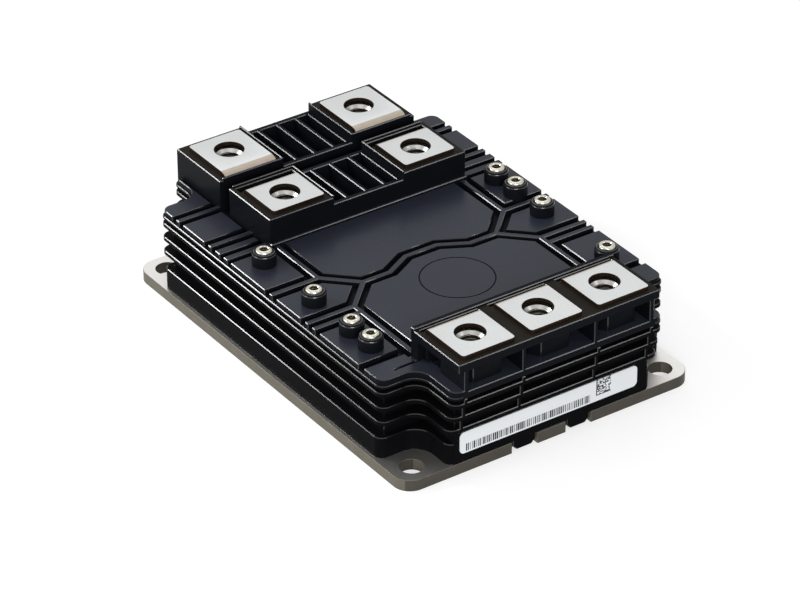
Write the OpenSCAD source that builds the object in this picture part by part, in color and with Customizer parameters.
// Half-bridge power transistor module: nickel-plated base plate, finned moulded housing,
// cover with insulated terminal blocks, bent sheet busbars over captive nuts, and the
// substrates, chips, gate board and gel inside.
// +X points to the output terminals, Z is up, the origin is the base plate's bottom centre.

/* [Base plate] */
// Length of the base plate along X
plate_length = 140; // [136:1:146]
// Width of the base plate along Y
plate_width = 100; // [98:1:106]
// Thickness of the base plate
plate_thickness = 3.6; // [3:0.1:4]
// Plan radius of the base plate's corners
plate_corner_radius = 5.5; // [3:0.5:6]
// Distance from the plate's end to each fixing hole
screw_inset_x = 6.6; // [6:0.1:7]
// Distance from the plate's side to each fixing hole
screw_inset_y = 6.8; // [6.2:0.1:7]
// Diameter of each fixing hole
screw_hole_diameter = 7; // [5:0.5:7.5]
// Width of each notch in the output end of the plate
notch_width = 8.8; // [8.2:0.2:10]
// Depth of each notch
notch_depth = 2.6; // [2.4:0.1:3]
// Distance of each notch from the centre line
notch_offset = 9.3; // [8:0.1:12]

/* [Housing frame] */
// Distance from the plate's side to the housing's long sides
rim_inset = 1; // [0.8:0.1:1.4]
// Clear distance from a fixing hole's axis to the housing along X
screw_clear_x = 6.3; // [6:0.1:6.8]
// Clear distance from a fixing hole's axis to the housing along Y
screw_clear_y = 7; // [6.6:0.1:7.4]
// Overhang of the housing beyond the plate at the input end
input_overhang = 0.2; // [0:0.1:0.6]
// Setback of the label wall from the plate's output end
label_wall_setback = 0.3; // [0.2:0.1:0.6]
// Radius of the housing's outer corners in plan
corner_radius = 2.7; // [2:0.1:3]
// Radius of the coves round the fixing screws
cove_radius = 5; // [4:0.1:5.4]
// Extra room that the skirt leaves round the screws
skirt_setback = 1; // [0.6:0.1:1.2]
// Height of the skirt's top above the plate's underside
skirt_top = 10.3; // [9:0.1:11.5]
// Number of creepage fins below the deck
fin_count = 3; // [2:1:3]
// Height of the lowest fin's top
fin_first_top = 16.1; // [15.8:0.1:16.4]
// Height from one fin to the next
fin_pitch = 4.7; // [4.4:0.1:4.8]
// Thickness of each fin
fin_thickness = 1.5; // [1.2:0.1:1.8]
// Depth of the grooves between the fins
fin_depth = 2.9; // [2.4:0.1:3.2]
// Reach of the lowest fin beyond the label wall
fin_reach = 1.6; // [1.2:0.1:2]
// Extra reach of each fin over the one below at the output end
fin_reach_step = 1; // [0.8:0.1:1.1]
// Thickness of the housing's wall
wall_thickness = 2.4; // [2:0.1:2.8]
// Thickness of the upright ribs at the output end
end_rib_thickness = 1.2; // [1:0.1:1.6]
// Width of each locating tab
tab_width = 7.6; // [7:0.1:8]
// Thickness of each locating tab
tab_thickness = 1.2; // [0.9:0.1:1.2]
// Height of each tab's foot above the plate's underside
tab_foot = 0.5; // [0.3:0.1:0.8]
// Chamfer on each tab's foot
tab_chamfer = 1.3; // [1:0.1:1.6]
// Width of the adhesive bead along the inside of the housing's foot
bead_width = 1.1; // [0.6:0.1:1.1]
// Height of the adhesive bead
bead_height = 0.8; // [0.5:0.1:1.2]
// Width of the rails that carry the gate board
rail_width = 1.8; // [1.4:0.1:1.9]
// Height of those rails
rail_height = 3; // [2:0.5:4]

/* [Deck] */
// Height of the deck's underside
deck_underside = 26.8; // [26.7:0.1:27]
// Height of the deck's groove floors
deck_floor = 27.8; // [27.6:0.1:28.2]
// Height of the deck's raised pads
deck_top = 29.6; // [29.4:0.1:30]
// Step from the deck's edge in to the pads
pad_step = 0.4; // [0.2:0.1:0.6]
// Width of the grooves beside the ribs
groove_width = 5.2; // [4.6:0.1:5.6]
// Thickness of the creepage ribs in the grooves
rib_width = 1.6; // [1.2:0.1:1.8]
// Distance from the nose's side in to the long ribs
long_rib_inset = 3.7; // [3.5:0.1:3.8]
// Position of the rib crossing nearest the input end
cross_a_x = -47.7; // [-48.2:0.1:-47.2]
// Width of that crossing's groove
cross_a_width = 5.7; // [5.2:0.1:6]
// Position of the second crossing
cross_b_x = -30.5; // [-31:0.1:-30]
// Width of that crossing's groove
cross_b_width = 5.8; // [5.2:0.1:6]
// Position of the third crossing
cross_c_x = -22.1; // [-22.4:0.1:-21.8]
// Width of that crossing's groove
cross_c_width = 5.8; // [5.4:0.1:6]
// Width of the third crossing's rib
cross_c_rib = 2.1; // [1.6:0.1:2.4]
// Position of the crossing at the front bend
cross_d_x = 1.5; // [1.2:0.1:1.8]
// Position of the first rib of the double crossing
cross_e_x = 19.8; // [19.5:0.1:20.1]
// Distance between the ribs of the double crossing
cross_e_pitch = 3.5; // [3.2:0.1:3.8]
// Width of the double crossing's groove
cross_e_width = 9.7; // [9.2:0.1:10]
// Position of the plain groove beside the output block
cross_f_x = 47; // [46.6:0.1:47.2]
// Width of that groove
cross_f_width = 2.8; // [2.2:0.1:3]
// Position of the middle rib's outer bends along X
bend_outer_x = 10.6; // [10.2:0.1:11]
// Distance from the long ribs in to the middle rib's junctions
bend_rise = 9.3; // [8.8:0.1:9.8]
// Distance of its second bends from the centre line
bend_second_y = 14; // [13.4:0.1:14.6]
// Position of its middle stretch along X
bend_middle_x = 6; // [5.6:0.1:6.6]
// Distance of its inner bends from the centre line
bend_inner_y = 5.5; // [5:0.1:6]
// Width of the slit beside the output block
slit_width = 0.8; // [0.6:0.1:1]
// Length of that slit
slit_length = 7.6; // [6:0.2:8]
// Position of that slit
slit_x = 53.5; // [53.3:0.1:53.9]
// Radius of the incised circle on the front plateau
circle_radius = 10.9; // [9:0.1:12]
// Position of that circle
circle_x = 24.2; // [23.8:0.1:25]
// Width of the circle's line
circle_line = 0.4; // [0.3:0.1:0.6]
// Depth of the circle's line
circle_depth = 0.2; // [0.1:0.1:0.4]

/* [Terminals] */
// Thickness of the busbar sheet
sheet_thickness = 1.2; // [1:0.1:1.2]
// Height of the terminals' top faces
terminal_top = 39.6; // [39.4:0.1:40.2]
// Diameter of the holes in the terminals
terminal_hole_diameter = 9; // [8.6:0.1:9.4]
// Distance from the blocks' sides in to the side terminals
terminal_inset = 11.35; // [11.2:0.05:11.5]
// Width of each terminal along Y
terminal_width = 17.8; // [17.4:0.1:18]
// Width of the legs below the bends
leg_width = 14; // [12:0.5:14]
// Inner radius of the busbars' bends
bend_radius = 0.8; // [0.5:0.1:0.9]
// Length of the bevel along the outer terminals' bent edges
bevel_length = 2.4; // [1.8:0.1:2.8]
// Drop of that bevel
bevel_drop = 0.5; // [0.3:0.1:0.6]
// Plan radius of the terminals' free corners
terminal_corner_radius = 1; // [0.6:0.1:1.4]
// Distance from the plate's input end to the outer terminals' holes
outer_inset = 10.65; // [10.4:0.05:10.8]
// Distance between the outer and inner terminals' holes
row_pitch = 29.7; // [29.5:0.1:29.9]
// Distance from the plate's output end to the output terminals' holes
output_inset = 7.5; // [7.3:0.1:7.7]
// Free length of the outer terminals from the hole
outer_free = 8.4; // [8.2:0.1:8.8]
// Bent length of the outer terminals from the hole
outer_bent = 11.8; // [11.6:0.1:12]
// Free length of the inner terminals from the hole
inner_free = 7.7; // [7.4:0.1:8]
// Bent length of the inner terminals from the hole
inner_bent = 8.6; // [8.4:0.1:8.8]
// Length of the output terminals on each side of the hole
output_reach = 9.1; // [8.8:0.1:9.2]

/* [Terminal blocks] */
// Distance from the nose's side in to the blocks' sides
block_inset = 1.85; // [1.8:0.05:2]
// Distance of the terminal towers' inner faces from the centre line
tower_inner_y = 12; // [11.6:0.1:12.4]
// Width of the outer block along X
outer_block_width = 23.4; // [23.2:0.1:23.6]
// Width of the inner block along X
inner_block_width = 21.7; // [21.5:0.1:21.9]
// Distance from the inner block's back face to its terminals' bent edge
inner_block_back = 3.7; // [3.4:0.1:4]
// Width of the rims on the towers
rim_width = 0.6; // [0.4:0.1:0.6]
// Height of those rims over the terminals' seats
rim_height = 0.7; // [0.5:0.1:1]
// Distance of the rims' outer ends from the towers' sides
rim_end_gap = 1.1; // [0.8:0.1:1.4]
// Depth of the troughs behind the bent edges
trough_depth = 4; // [3:0.5:5]
// Margin of the troughs beside the terminals
trough_margin = 0.8; // [0.5:0.1:1]
// Drop of the low bars between the towers below the terminals' tops
bar_drop = 3.4; // [2.8:0.1:4]
// Height of the floors of the bars' pockets
pocket_floor = 31; // [30.4:0.2:32]
// Wall round the bars' pockets
pocket_wall = 1.6; // [1.2:0.1:2]
// Thickness of the ribs between the pockets
pocket_rib = 1.2; // [1:0.1:1.6]
// Distance between those ribs
pocket_pitch = 6.6; // [6:0.1:6.8]
// Size of the step at the inner block's foot
foot_step = 0.8; // [0.5:0.1:1]
// Distance from the output block's back face to its terminals' bent edge
output_block_back = 3.1; // [2.8:0.1:3.4]
// Reach of the output block's roof beyond its terminals
output_block_front = 1.7; // [1.4:0.1:2]
// Width of the rim behind the output terminals
output_rim_width = 1.6; // [1.2:0.1:1.8]
// Thickness of the output block's roof
roof_thickness = 2.8; // [2.4:0.1:3.2]
// Thickness of the output block's back wall
back_wall = 5.3; // [5.1:0.1:5.6]
// Height of the floors of the output block's chambers
chamber_floor = 29.05; // [28.8:0.05:29.3]
// Length of the panels at the output block's sides
side_panel_length = 11.3; // [10:0.1:12]
// Thickness of those panels
side_panel_thickness = 1.5; // [1.2:0.1:1.8]
// Distance from the block's side in to those panels
side_panel_inset = 1.85; // [1.7:0.05:2]
// Distance of the output block's inner ribs from the centre line
inner_rib_y = 12.9; // [12.6:0.1:13.1]
// Width across the flats of the output block's nut boxes
nut_box_flats = 16.4; // [16:0.1:16.5]

/* [Nuts and inserts] */
// Width across the flats of the terminal nuts
nut_flats = 13; // [12.8:0.1:13.2]
// Height of the terminal nuts
nut_height = 6.5; // [6:0.1:6.8]
// Gap between a nut lying in its pocket and its terminal
nut_drop = 0.9; // [0.7:0.1:1]
// Radius of the nuts' threads at the crests
nut_bore_radius = 3.35; // [3.2:0.05:3.5]
// Chamfer at the mouths of the nuts' threads
nut_chamfer = 0.9; // [0.6:0.1:1]
// Play round each nut
nut_play = 0.05; // [0.05:0.01:0.1]
// Radius of the clearance holes under the nuts
screw_end_radius = 4.3; // [4.2:0.1:4.6]
// Height of those holes' floors
screw_end_floor = 28.8; // [28.4:0.1:29]
// Radius of the control terminals' bosses
boss_radius = 3.6; // [3.4:0.1:3.7]
// Height of the bosses' tops
boss_top = 33.8; // [33.4:0.1:34]
// Chamfer on the bosses' rims
boss_chamfer = 0.6; // [0.4:0.1:0.7]
// Distance from the housing's long side in to the bosses
boss_inset = 8.2; // [8:0.1:8.4]
// Positions of the bosses on the -Y side
boss_x_right = [-13.6, 12, 30.9, 40.3];
// Positions of the bosses on the +Y side
boss_x_left = [-13.6, -4, 9.2, 40.3];
// Radius of each threaded insert
insert_radius = 2.45; // [2.3:0.05:2.5]
// Height of the inserts' tops
insert_top = 34.5; // [34.4:0.1:34.8]
// Chamfer on the inserts' rims
insert_chamfer = 0.4; // [0.3:0.1:0.5]
// Radius of the inserts' threads at the crests
insert_bore_radius = 1.25; // [1.2:0.05:1.35]
// Depth of the inserts' threads
insert_bore_depth = 5; // [4.5:0.1:5.4]
// Radial gap between a fitted metal piece and the moulding
press_gap = 0.05; // [0.05:0.01:0.08]
// Radius of the control pins
pin_radius = 0.6; // [0.5:0.05:0.7]
// Radial gap round the control pins
pin_gap = 0.1; // [0.1:0.05:0.15]

/* [Inside] */
// Height of the gate board's underside
board_seat = 20; // [19.5:0.1:20.5]
// Thickness of the gate board
board_thickness = 1.6; // [1.2:0.1:2]
// Distance of the gate board's ends from the busbars' bent legs
board_end_gap = 5.3; // [5:0.1:6]
// Gap between the gate board and the walls
board_gap = 0.6; // [0.5:0.1:0.8]
// Length of each pin end under the gate board
pin_tail = 0.8; // [0.4:0.1:1]
// Thickness of the substrates' copper layers
copper_thickness = 0.3; // [0.3:0.1:0.5]
// Thickness of the ceramic
ceramic_thickness = 0.6; // [0.5:0.1:1]
// Gap between neighbouring ceramics
ceramic_gap = 3; // [2:0.5:4]
// Gap between the ceramics and the housing's end walls
ceramic_end_gap = 0.8; // [0.5:0.1:1.5]
// Gap between the ceramics and the housing's side walls
ceramic_side_gap = 4.2; // [3.4:0.1:4.6]
// Bare margin of the ceramics round the copper
copper_margin = 1; // [0.8:0.1:1.2]
// Gap between the transistor chips and the feet and pins beside them
chip_gap = 1.25; // [1:0.05:1.5]
// Side of the diode chips as a share of the transistor chips' side
diode_share = 0.73; // [0.65:0.01:0.8]
// Thickness of the chips
chip_thickness = 0.3; // [0.2:0.1:0.5]
// Distance from a substrate's centre to its transistor chips along X
igbt_offset = -4.5; // [-5:0.1:-4]
// Distance from a substrate's centre to its diode chips along X
diode_offset = 8; // [7.4:0.1:8.4]
// Rise of the bond wires over the chips
wire_rise = 1.8; // [1.4:0.1:2.2]
// Thickness of the bond wires
wire_thickness = 0.4; // [0.3:0.1:0.5]
// Distance between neighbouring bond wires
wire_pitch = 1.5; // [1.2:0.1:1.8]
// Radius of the pins from the substrates to the gate board
riser_radius = 0.5; // [0.4:0.1:0.6]
// Height of the busbars' collecting strips above the plate's underside
strip_foot = 11; // [10.5:0.1:12]
// Height of those strips
strip_height = 5; // [4:0.5:6]
// Gap between the collecting strips' ends and the housing's nose
strip_gap = 0.9; // [0.6:0.1:1.2]
// Width of each busbar foot
foot_width = 6; // [5:0.5:7]
// Length of each busbar foot on the copper
foot_length = 3; // [2.6:0.1:3.2]
// Height of the gel's surface
gel_top = 9.2; // [8.8:0.1:9.8]

/* [Label] */
// Thickness of the label
label_thickness = 0.2; // [0.1:0.1:0.3]
// Height of the label's lower edge
label_foot = 6.4; // [6:0.1:7]
// Height of the label
label_height = 6.9; // [6:0.1:7.4]
// Length of the label
label_length = 61.3; // [58:0.1:62]
// Offset of the label from the centre line
label_offset = -0.85; // [-1.2:0.05:0]
// Radius of the label's corners
label_corner_radius = 1.5; // [1:0.1:2]

/* [Hidden] */
$fn = 40;

nickel = [0.78, 0.78, 0.76];
brass = [0.72, 0.66, 0.48];
black_moulding = [0.06, 0.06, 0.07];
copper = [0.72, 0.45, 0.3];

plate_x = plate_length / 2;
plate_y = plate_width / 2;
screw_x = plate_x - screw_inset_x;
screw_y = plate_y - screw_inset_y;

// Housing outline
side_y = plate_y - rim_inset;
end_x = screw_x - screw_clear_x;
nose_y = screw_y - screw_clear_y;
long_rib_y = nose_y - long_rib_inset;
block_y = nose_y - block_inset;
side_panel_y = block_y - side_panel_inset;
terminal_y = block_y - terminal_inset;
input_x = -plate_x - input_overhang;
label_wall_x = plate_x - label_wall_setback;
deck_output_x = fin_output_x(fin_count - 1);
cavity_inset = fin_depth + wall_thickness;
cavity_x = end_x - cavity_inset;
cavity_y = side_y - cavity_inset;
boss_y = side_y - boss_inset;
bend_junction_y = long_rib_y - bend_rise;
strip_length = 2 * (nose_y - cavity_inset - strip_gap);

// Terminals
terminal_seat = terminal_top - sheet_thickness;
outer_x = -plate_x + outer_inset;
inner_x = outer_x + row_pitch;
output_x = plate_x - output_inset;
outer_bent_x = outer_x + outer_bent;
inner_bent_x = inner_x - inner_bent;
output_bent_x = output_x - output_reach;

// Blocks
outer_block_x = input_x;
inner_block_x = inner_bent_x - inner_block_back;
inner_block_end = inner_block_x + inner_block_width;
output_block_x = output_bent_x - output_block_back;
output_block_end = output_x + output_reach + output_block_front;
bar_top = terminal_top - bar_drop;
roof_underside = terminal_seat - roof_thickness;
nut_seat = terminal_seat - nut_drop - nut_height;

// Ceramic stacks
lower_copper_top = plate_thickness + copper_thickness;
ceramic_top = lower_copper_top + ceramic_thickness;
copper_top = ceramic_top + copper_thickness;
chip_top = copper_top + chip_thickness;
wire_top = chip_top + wire_rise;
ceramic_length = 2 * (cavity_x - ceramic_end_gap - ceramic_gap) / 3;
ceramic_width = cavity_y - ceramic_side_gap - ceramic_gap / 2;
ceramic_pitch_x = ceramic_length + ceramic_gap;
ceramic_pitch_y = ceramic_width + ceramic_gap;
ceramic_columns = [-ceramic_pitch_x, 0, ceramic_pitch_x];
ceramic_rows = [-ceramic_pitch_y / 2, ceramic_pitch_y / 2];

// Chips, between the feet on a substrate's middle and the pins along its edge
copper_edge_y = ceramic_width / 2 - copper_margin;
riser_row = ceramic_pitch_y / 2 + copper_edge_y - 2 * riser_radius;
chip_low_y = foot_width / 2 + chip_gap;
chip_high_y = copper_edge_y - 3 * riser_radius - chip_gap;
chip_pitch = chip_high_y + chip_low_y;
igbt_side = chip_high_y - chip_low_y;
diode_side = diode_share * igbt_side;
board_start = inner_bent_x + board_end_gap;
board_length = output_bent_x - board_end_gap - board_start;
output_foot_x = output_bent_x - foot_length - sheet_thickness - 2 * wall_thickness;

function fin_top(level) = fin_first_top + level * fin_pitch;
function fin_output_x(level) = label_wall_x + fin_reach + level * fin_reach_step;

// A rectangle with rounded corners, given by its low and high corners
module rounded_box(low, high, radius) {
    translate([low.x + radius, low.y]) square([high.x - low.x - 2 * radius, high.y - low.y]);
    translate([low.x, low.y + radius]) square([high.x - low.x, high.y - low.y - 2 * radius]);
    for (x = [low.x + radius, high.x - radius], y = [low.y + radius, high.y - radius])
        translate([x, y]) circle(radius);
}

// The housing's plan: a wide middle, a narrower nose at each end and a cove at each screw
module housing_plan(inset, setback, output_end, corner, cove) {
    long_y = side_y - inset;
    body_x = end_x - setback - inset;
    inner_y = nose_y - setback - inset;
    rounded_box([-body_x, -long_y], [body_x, long_y], corner);
    rounded_box([input_x + inset, -inner_y], [output_end, inner_y], corner);
    for (sx = [-1, 1], sy = [-1, 1])
        translate([sx * (body_x + cove / 2), sy * (inner_y + cove / 2)])
            difference() {
                square(cove, center = true);
                translate([sx * cove / 2, sy * cove / 2]) circle(cove);
            }
}

// The same plan with square corners, for the walls behind the fins
module square_plan(inset, output_end) {
    square([2 * (end_x - inset), 2 * (side_y - inset)], center = true);
    translate([input_x + inset, -nose_y + inset])
        square([output_end - input_x - inset, 2 * (nose_y - inset)]);
}

function unit(v) = v / norm(v);
function left_of(v) = [-v.y, v.x];
function side_normal(path, i) = left_of(unit(path[i + 1] - path[i]));
function mitre(path, i) =
    i == 0 ? side_normal(path, 0) :
    i == len(path) - 1 ? side_normal(path, i - 1) :
    let (a = side_normal(path, i - 1), b = side_normal(path, i)) (a + b) / (1 + a * b);

// A strip of even width along a bent path, with mitred corners
module ribbon(path, width) {
    last = len(path) - 1;
    polygon(concat(
        [for (i = [0:last]) path[i] + mitre(path, i) * width / 2],
        [for (i = [last:-1:0]) path[i] - mitre(path, i) * width / 2]));
}

// Centre lines of the long rib and of the rib that crosses the deck
function crossing_path() = [
    [inner_block_end, -long_rib_y], [cross_d_x, -long_rib_y], [bend_outer_x, -bend_junction_y],
    [bend_outer_x, -bend_second_y], [bend_middle_x, -bend_inner_y], [bend_middle_x, bend_inner_y],
    [bend_outer_x, bend_second_y], [bend_outer_x, bend_junction_y], [cross_d_x, long_rib_y],
    [inner_block_end, long_rib_y]];
function branch_path(side) = [
    [output_block_x, side * long_rib_y], [cross_e_x, side * long_rib_y],
    [bend_outer_x, side * bend_junction_y]];

// A cross-deck strip from the long rib to the deck's edge
module crossing(x, width, side) {
    translate([x - width / 2, side > 0 ? long_rib_y - rib_width / 2 : -side_y - rib_width])
        square([width, side_y - long_rib_y + 1.5 * rib_width]);
}

module groove_plan() {
    ribbon(crossing_path(), groove_width);
    for (side = [-1, 1]) {
        ribbon(branch_path(side), groove_width);
        crossing(cross_a_x, cross_a_width, side);
        crossing(cross_b_x, cross_b_width, side);
        crossing(cross_c_x, cross_c_width, side);
        crossing(cross_d_x, groove_width + rib_width / 2, side);
        crossing(cross_e_x + cross_e_pitch / 2, cross_e_width, side);
        crossing(cross_f_x, cross_f_width, side);
        translate([slit_x, side * (block_y + slit_length / 2)])
            square([slit_width, slit_length], center = true);
    }
    translate([input_x, -block_y - pad_step * 2])
        square([inner_block_end - input_x, 2 * (block_y + pad_step * 2)]);
}

module rib_plan() {
    ribbon(crossing_path(), rib_width);
    for (side = [-1, 1]) {
        ribbon(branch_path(side), rib_width);
        crossing(cross_a_x, rib_width, side);
        crossing(cross_b_x, rib_width, side);
        crossing(cross_c_x, cross_c_rib, side);
        crossing(cross_d_x, rib_width, side);
        crossing(cross_e_x, rib_width, side);
        crossing(cross_e_x + cross_e_pitch, rib_width, side);
    }
}

module base_plate() {
    color(nickel)
        difference() {
            linear_extrude(plate_thickness)
                rounded_box([-plate_x, -plate_y], [plate_x, plate_y], plate_corner_radius);
            for (x = [-screw_x, screw_x], y = [-screw_y, screw_y])
                translate([x, y, -plate_thickness])
                    cylinder(d = screw_hole_diameter, h = 3 * plate_thickness);
            for (side = [-1, 1])
                translate([plate_x - notch_depth, side * notch_offset - notch_width / 2, -plate_thickness])
                    cube([2 * notch_depth, notch_width, 3 * plate_thickness]);
        }
}

module bead_plan() {
    difference() {
        square_plan(cavity_inset - bead_width, label_wall_x - wall_thickness + bead_width);
        square_plan(cavity_inset, label_wall_x - wall_thickness);
    }
}

module adhesive_bead() {
    color([0.85, 0.85, 0.82])
        translate([0, 0, plate_thickness]) linear_extrude(bead_height) bead_plan();
}

module tab() {
    translate([label_wall_x - tab_thickness, 0, 0])
        rotate([90, 0, 90]) linear_extrude(tab_thickness)
            polygon([
                [-tab_width / 2, plate_thickness], [tab_width / 2, plate_thickness],
                [tab_width / 2, tab_foot + tab_chamfer], [tab_width / 2 - tab_chamfer, tab_foot],
                [-tab_width / 2 + tab_chamfer, tab_foot], [-tab_width / 2, tab_foot + tab_chamfer]]);
}

module fin(level) {
    translate([0, 0, fin_top(level) - fin_thickness]) linear_extrude(fin_thickness)
        housing_plan(0, 0, fin_output_x(level), corner_radius, cove_radius);
}

// Upright ribs that tie the fins together at the output end
module end_ribs(level) {
    reach = fin_output_x(level) - label_wall_x + fin_thickness;
    top = level == fin_count - 1 ? deck_underside : fin_top(level + 1) - fin_thickness;
    for (y = [-side_panel_y, -inner_rib_y, inner_rib_y, side_panel_y - end_rib_thickness])
        translate([label_wall_x - fin_thickness, y, fin_top(level)])
            cube([reach, end_rib_thickness, top - fin_top(level)]);
}

module housing_frame() {
    color(black_moulding)
        difference() {
            union() {
                translate([0, 0, plate_thickness]) linear_extrude(skirt_top - plate_thickness)
                    housing_plan(0, skirt_setback, label_wall_x, corner_radius, cove_radius + skirt_setback);
                translate([0, 0, plate_thickness]) linear_extrude(deck_underside - plate_thickness)
                    square_plan(fin_depth, label_wall_x);
                for (level = [0:fin_count - 1]) {
                    fin(level);
                    end_ribs(level);
                }
                for (side = [-1, 1]) translate([0, side * notch_offset, 0]) tab();
            }
            difference() {
                translate([0, 0, plate_thickness]) linear_extrude(deck_underside)
                    square_plan(cavity_inset, label_wall_x - wall_thickness);
                for (y = [-cavity_y, cavity_y - rail_width])
                    translate([board_start, y, board_seat - rail_height])
                        cube([board_length, rail_width, rail_height]);
            }
            translate([0, 0, plate_thickness]) linear_extrude(bead_height) bead_plan();
        }
}

// A hexagonal prism with flats facing along X
module hexagon(flats, height) {
    rotate([0, 0, 30]) cylinder(d = flats / cos(30), h = height, $fn = 6);
}

// Room for a captive nut and for the end of its screw
module nut_pocket() {
    translate([0, 0, nut_seat]) hexagon(nut_flats + 2 * nut_play, terminal_top - nut_seat);
    translate([0, 0, screw_end_floor])
        cylinder(r = screw_end_radius, h = nut_seat - screw_end_floor + nut_height / 2);
}

// Room for a busbar's leg, its bend and the trough behind it.
// The sheet's outer face is at x = 0 and it bends towards +X
module leg_slot(trough) {
    translate([-press_gap, -leg_width / 2 - press_gap, deck_underside - sheet_thickness])
        cube([sheet_thickness + 2 * press_gap, leg_width + 2 * press_gap, terminal_top]);
    translate([-press_gap, -terminal_width / 2 - press_gap, terminal_seat - bend_radius])
        cube([sheet_thickness + bend_radius + press_gap, terminal_width + 2 * press_gap, terminal_top]);
    translate([-trough, -terminal_width / 2 - trough_margin, terminal_seat - trough_depth])
        cube([trough, terminal_width + 2 * trough_margin, terminal_top]);
}

// One input block: towers for the terminals at both sides and a ribbed low bar between them
module input_block(x, width) {
    translate([x, -block_y, deck_floor]) cube([width, 2 * block_y, bar_top - deck_floor]);
    for (y = [-block_y, tower_inner_y])
        translate([x, y, bar_top]) cube([width, block_y - tower_inner_y, terminal_seat - bar_top]);
}

// Rims along the towers' inner sides and along their terminals' bent edges
module tower_rims(edge_x, x, width) {
    for (side = [0, 1])
        mirror([0, side, 0]) {
            translate([edge_x, tower_inner_y, terminal_seat])
                cube([rim_width, block_y - tower_inner_y - rim_end_gap, rim_height]);
            translate([x, tower_inner_y, terminal_seat]) cube([width, rim_width, rim_height]);
        }
}

module bar_pockets(x, width) {
    difference() {
        translate([x + pocket_wall, -tower_inner_y + pocket_rib, pocket_floor])
            cube([width - 2 * pocket_wall, 2 * (tower_inner_y - pocket_rib), terminal_top - pocket_floor]);
        for (y = [-pocket_pitch, 0, pocket_pitch])
            translate([x, y - pocket_rib / 2, deck_floor])
                cube([width, pocket_rib, bar_top - deck_floor]);
    }
}

module output_block() {
    depth = output_block_end - output_block_x;
    translate([output_block_x, -block_y, roof_underside]) cube([depth, 2 * block_y, roof_thickness]);
    translate([output_block_x, -block_y, deck_floor])
        cube([output_block_back + bend_radius / 3, 2 * block_y, roof_underside - deck_floor]);
    translate([output_block_x, -side_panel_y, deck_floor])
        cube([back_wall, 2 * side_panel_y, roof_underside - deck_floor]);
    translate([output_block_x, -block_y, terminal_seat])
        cube([output_rim_width, 2 * block_y, rim_height]);
    for (y = [-inner_rib_y, inner_rib_y - end_rib_thickness])
        translate([output_block_x, y, deck_floor])
            cube([depth, end_rib_thickness, roof_underside - deck_floor]);
    for (y = [-side_panel_y, side_panel_y - side_panel_thickness])
        translate([output_block_end - side_panel_length, y, deck_floor])
            cube([side_panel_length, side_panel_thickness, roof_underside - deck_floor]);
    for (y = [-terminal_y, 0, terminal_y])
        translate([output_x, y, deck_floor]) hexagon(nut_box_flats, roof_underside - deck_floor);
}

module each_boss() {
    for (x = boss_x_right) translate([x, -boss_y, 0]) children();
    for (x = boss_x_left) translate([x, boss_y, 0]) children();
}

module boss() {
    translate([0, 0, deck_floor]) cylinder(r = boss_radius, h = boss_top - boss_chamfer - deck_floor);
    translate([0, 0, boss_top - boss_chamfer])
        cylinder(r1 = boss_radius, r2 = boss_radius - boss_chamfer, h = boss_chamfer);
}

// The pads and ribs that stand on the deck's floor, lowered in the output block's chambers
module deck_relief() {
    difference() {
        translate([0, 0, deck_floor]) linear_extrude(deck_top - deck_floor)
            intersection() {
                housing_plan(pad_step, 0, deck_output_x, corner_radius, cove_radius);
                union() {
                    difference() {
                        square([plate_length + plate_width, plate_width], center = true);
                        groove_plan();
                    }
                    rib_plan();
                }
            }
        translate([output_block_x + back_wall, -side_panel_y + side_panel_thickness, chamber_floor])
            cube([plate_length, 2 * (side_panel_y - side_panel_thickness), deck_top]);
    }
}

module top_cover() {
    color(black_moulding)
        difference() {
            union() {
                translate([0, 0, deck_underside]) linear_extrude(deck_floor - deck_underside)
                    housing_plan(0, 0, deck_output_x, corner_radius, cove_radius);
                deck_relief();
                input_block(outer_block_x, outer_block_width);
                input_block(inner_block_x, inner_block_width);
                tower_rims(outer_block_x + outer_block_width - rim_width, outer_block_x, outer_block_width);
                tower_rims(inner_block_x, inner_block_x, inner_block_width);
                translate([inner_block_end, -block_y, deck_floor])
                    cube([foot_step, 2 * block_y, deck_top + foot_step - deck_floor]);
                output_block();
                each_boss() boss();
            }
            bar_pockets(outer_block_x, outer_block_width);
            bar_pockets(inner_block_x, inner_block_width);
            for (side = [-1, 1]) {
                translate([outer_x, side * terminal_y, 0]) nut_pocket();
                translate([inner_x, side * terminal_y, 0]) nut_pocket();
                translate([outer_bent_x, side * terminal_y, 0]) mirror([1, 0, 0]) leg_slot(press_gap);
                translate([inner_bent_x, side * terminal_y, 0]) leg_slot(inner_block_back - 2 * rim_width);
            }
            for (y = [-terminal_y, 0, terminal_y]) {
                translate([output_x, y, 0]) nut_pocket();
                translate([output_bent_x, y, 0])
                    leg_slot(output_block_back - output_rim_width - trough_margin / 2);
            }
            each_boss() {
                translate([0, 0, deck_floor]) cylinder(r = insert_radius + press_gap, h = insert_top);
                translate([0, 0, deck_underside - pin_radius])
                    cylinder(r = pin_radius + pin_gap, h = insert_top);
            }
            translate([circle_x, 0, deck_top - circle_depth]) linear_extrude(deck_top)
                difference() {
                    circle(circle_radius + circle_line / 2);
                    circle(circle_radius - circle_line / 2);
                }
        }
}

// Side view of a terminal and its bend. The bend's outer face is at x = 0, the free end towards +X
module terminal_profile(reach) {
    outer_radius = bend_radius + sheet_thickness;
    translate([outer_radius, terminal_seat]) square([reach - outer_radius, sheet_thickness]);
    translate([outer_radius, terminal_top - outer_radius])
        intersection() {
            difference() {
                circle(outer_radius);
                circle(bend_radius);
            }
            translate([-outer_radius, 0]) square(outer_radius);
        }
}

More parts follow.
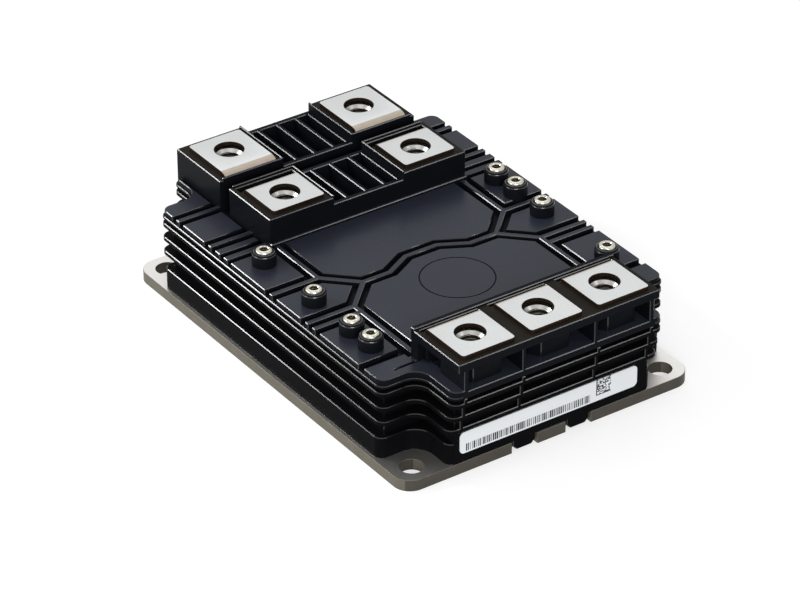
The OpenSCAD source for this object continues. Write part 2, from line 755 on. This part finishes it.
// A terminal with its leg, cut to plan so that its free corners are rounded
module terminal(reach, hole, foot) {
    difference() {
        intersection() {
            translate([0, terminal_width / 2, 0]) rotate([90, 0, 0]) linear_extrude(terminal_width)
                terminal_profile(reach);
            linear_extrude(2 * terminal_top)
                rounded_box([-reach, -terminal_width / 2], [reach, terminal_width / 2],
                    terminal_corner_radius);
        }
        translate([hole, 0, terminal_seat - sheet_thickness])
            cylinder(d = terminal_hole_diameter, h = 3 * sheet_thickness);
    }
    translate([0, -leg_width / 2, foot])
        cube([sheet_thickness, leg_width, terminal_seat - bend_radius - foot]);
}

// The wedge that bevels a terminal's top along its bend
module bevel_cut() {
    translate([0, terminal_width, 0]) rotate([90, 0, 0]) linear_extrude(2 * terminal_width)
        polygon([[-bevel_length, terminal_top - 2 * bevel_drop], [bevel_length, terminal_top],
            [bevel_length, terminal_top + bevel_drop], [-bevel_length, terminal_top + bevel_drop]]);
}

// The strip that joins a busbar's legs
module collector() {
    translate([0, -strip_length / 2, strip_foot]) cube([sheet_thickness, strip_length, strip_height]);
    feet();
}

// The feet under a strip, bent over on the substrates' copper
module feet() {
    for (y = ceramic_rows) {
        translate([0, y - foot_width / 2, copper_top])
            cube([sheet_thickness, foot_width, strip_foot - copper_top]);
        translate([0, y - foot_width / 2, copper_top])
            cube([foot_length + sheet_thickness, foot_width, sheet_thickness]);
    }
}

module outer_busbar() {
    color(nickel) {
        for (side = [-1, 1])
            translate([outer_bent_x, side * terminal_y, 0]) mirror([1, 0, 0])
                difference() {
                    terminal(outer_bent + outer_free, outer_bent, strip_foot + strip_height);
                    bevel_cut();
                }
        translate([outer_bent_x - sheet_thickness, 0, 0]) collector();
    }
}

module inner_busbar() {
    color(nickel) {
        for (side = [-1, 1])
            translate([inner_bent_x, side * terminal_y, 0])
                terminal(inner_bent + inner_free, inner_bent, strip_foot + strip_height);
        translate([inner_bent_x, 0, 0]) collector();
    }
}

module output_busbar() {
    color(nickel) {
        for (y = [-terminal_y, 0, terminal_y])
            translate([output_bent_x, y, 0])
                terminal(2 * output_reach, output_reach, strip_foot);
        translate([output_foot_x, -strip_length / 2, strip_foot])
            cube([output_bent_x - output_foot_x + sheet_thickness, strip_length, sheet_thickness]);
        translate([output_foot_x + sheet_thickness, 0, 0]) mirror([1, 0, 0]) feet();
    }
}

module nut() {
    translate([0, 0, nut_seat])
        difference() {
            hexagon(nut_flats, nut_height);
            translate([0, 0, -nut_height]) cylinder(r = nut_bore_radius, h = 3 * nut_height);
            translate([0, 0, -nut_chamfer])
                cylinder(r1 = nut_bore_radius + 2 * nut_chamfer, r2 = nut_bore_radius, h = 2 * nut_chamfer);
            translate([0, 0, nut_height - nut_chamfer])
                cylinder(r1 = nut_bore_radius, r2 = nut_bore_radius + 2 * nut_chamfer, h = 2 * nut_chamfer);
        }
}

module outer_nuts() {
    color(nickel) for (side = [-1, 1]) translate([outer_x, side * terminal_y, 0]) nut();
}

module inner_nuts() {
    color(nickel) for (side = [-1, 1]) translate([inner_x, side * terminal_y, 0]) nut();
}

module output_nuts() {
    color(nickel) for (y = [-terminal_y, 0, terminal_y]) translate([output_x, y, 0]) nut();
}

module control_inserts() {
    color(brass)
        each_boss()
            difference() {
                union() {
                    translate([0, 0, deck_floor])
                        cylinder(r = insert_radius, h = insert_top - insert_chamfer - deck_floor);
                    translate([0, 0, insert_top - insert_chamfer])
                        cylinder(r1 = insert_radius, r2 = insert_radius - insert_chamfer, h = insert_chamfer);
                }
                translate([0, 0, insert_top - insert_bore_depth])
                    cylinder(r = insert_bore_radius, h = insert_bore_depth + insert_chamfer);
            }
}

module control_pins() {
    color(brass)
        each_boss()
            translate([0, 0, board_seat - pin_tail])
                cylinder(r = pin_radius, h = deck_floor - board_seat + pin_tail);
}

module gate_board() {
    color([0.1, 0.35, 0.18])
        difference() {
            translate([board_start, -cavity_y + board_gap, board_seat])
                cube([board_length, 2 * (cavity_y - board_gap), board_thickness]);
            each_boss()
                translate([0, 0, board_seat - board_thickness])
                    cylinder(r = pin_radius + pin_gap, h = 3 * board_thickness);
        }
}

module each_ceramic() {
    for (x = ceramic_columns, y = ceramic_rows) translate([x, y, 0]) children();
}

module layer(margin, bottom, thickness) {
    translate([-ceramic_length / 2 + margin, -ceramic_width / 2 + margin, bottom])
        cube([ceramic_length - 2 * margin, ceramic_width - 2 * margin, thickness]);
}

module lower_copper() {
    color(copper) each_ceramic() layer(copper_margin, plate_thickness, copper_thickness);
}

module ceramics() {
    color([0.9, 0.9, 0.86]) each_ceramic() layer(0, lower_copper_top, ceramic_thickness);
}

module upper_copper() {
    color(copper) each_ceramic() layer(copper_margin, ceramic_top, copper_thickness);
}

module chip(side) {
    translate([-side / 2, -side / 2, copper_top]) cube([side, side, chip_thickness]);
}

module igbt_chips() {
    color([0.45, 0.47, 0.52])
        each_ceramic()
            for (y = [-chip_pitch / 2, chip_pitch / 2]) translate([igbt_offset, y, 0]) chip(igbt_side);
}

module diode_chips() {
    color([0.5, 0.5, 0.5])
        each_ceramic()
            for (y = [-chip_pitch / 2, chip_pitch / 2]) translate([diode_offset, y, 0]) chip(diode_side);
}

// One looped wire from a transistor chip's top to its diode chip's top
module bond_wire() {
    span = diode_offset - igbt_offset;
    rotate([90, 0, 0]) linear_extrude(wire_thickness, center = true)
        ribbon([[0, chip_top + wire_thickness / 2], [span / 6, chip_top + wire_thickness / 2],
            [span / 3, wire_top - wire_thickness / 2], [span * 2 / 3, wire_top - wire_thickness / 2],
            [span * 5 / 6, chip_top + wire_thickness / 2], [span, chip_top + wire_thickness / 2]],
            wire_thickness);
}

module bond_wires() {
    color([0.8, 0.8, 0.8])
        each_ceramic()
            for (y = [-chip_pitch / 2, chip_pitch / 2], k = [-1, 0, 1])
                translate([igbt_offset, y + k * wire_pitch, 0]) bond_wire();
}

module each_riser() {
    for (x = [0, ceramic_pitch_x], y = [-1, 1], k = [-1, 1])
        translate([x + igbt_offset + k * riser_radius * 4, y * riser_row, 0]) children();
}

module riser_pins() {
    color(brass)
        each_riser() translate([0, 0, copper_top]) cylinder(r = riser_radius, h = board_seat - copper_top);
}

// Gel over the whole floor of the housing, open only where the pieces inside stand in it
module silicone_gel() {
    color([0.8, 0.85, 0.88, 0.5])
        difference() {
            translate([0, 0, plate_thickness]) linear_extrude(gel_top - plate_thickness)
                square_plan(cavity_inset, label_wall_x - wall_thickness);
            each_ceramic() {
                layer(copper_margin, plate_thickness - copper_thickness, 2 * copper_thickness);
                layer(0, lower_copper_top, wire_top - lower_copper_top);
            }
            translate([outer_bent_x - sheet_thickness, 0, 0]) feet();
            translate([inner_bent_x, 0, 0]) feet();
            translate([output_foot_x + sheet_thickness, 0, 0]) mirror([1, 0, 0]) feet();
            each_riser() translate([0, 0, copper_top]) cylinder(r = riser_radius, h = gel_top);
        }
}

module label() {
    color([0.93, 0.93, 0.92])
        translate([label_wall_x, label_offset, label_foot])
            rotate([90, 0, 90]) linear_extrude(label_thickness)
                rounded_box([-label_length / 2, 0], [label_length / 2, label_height], label_corner_radius);
}

base_plate();
adhesive_bead();
housing_frame();
top_cover();
label();
outer_busbar();
inner_busbar();
output_busbar();
outer_nuts();
inner_nuts();
output_nuts();
control_inserts();
control_pins();
gate_board();
riser_pins();
lower_copper();
ceramics();
upper_copper();
igbt_chips();
diode_chips();
bond_wires();
silicone_gel();
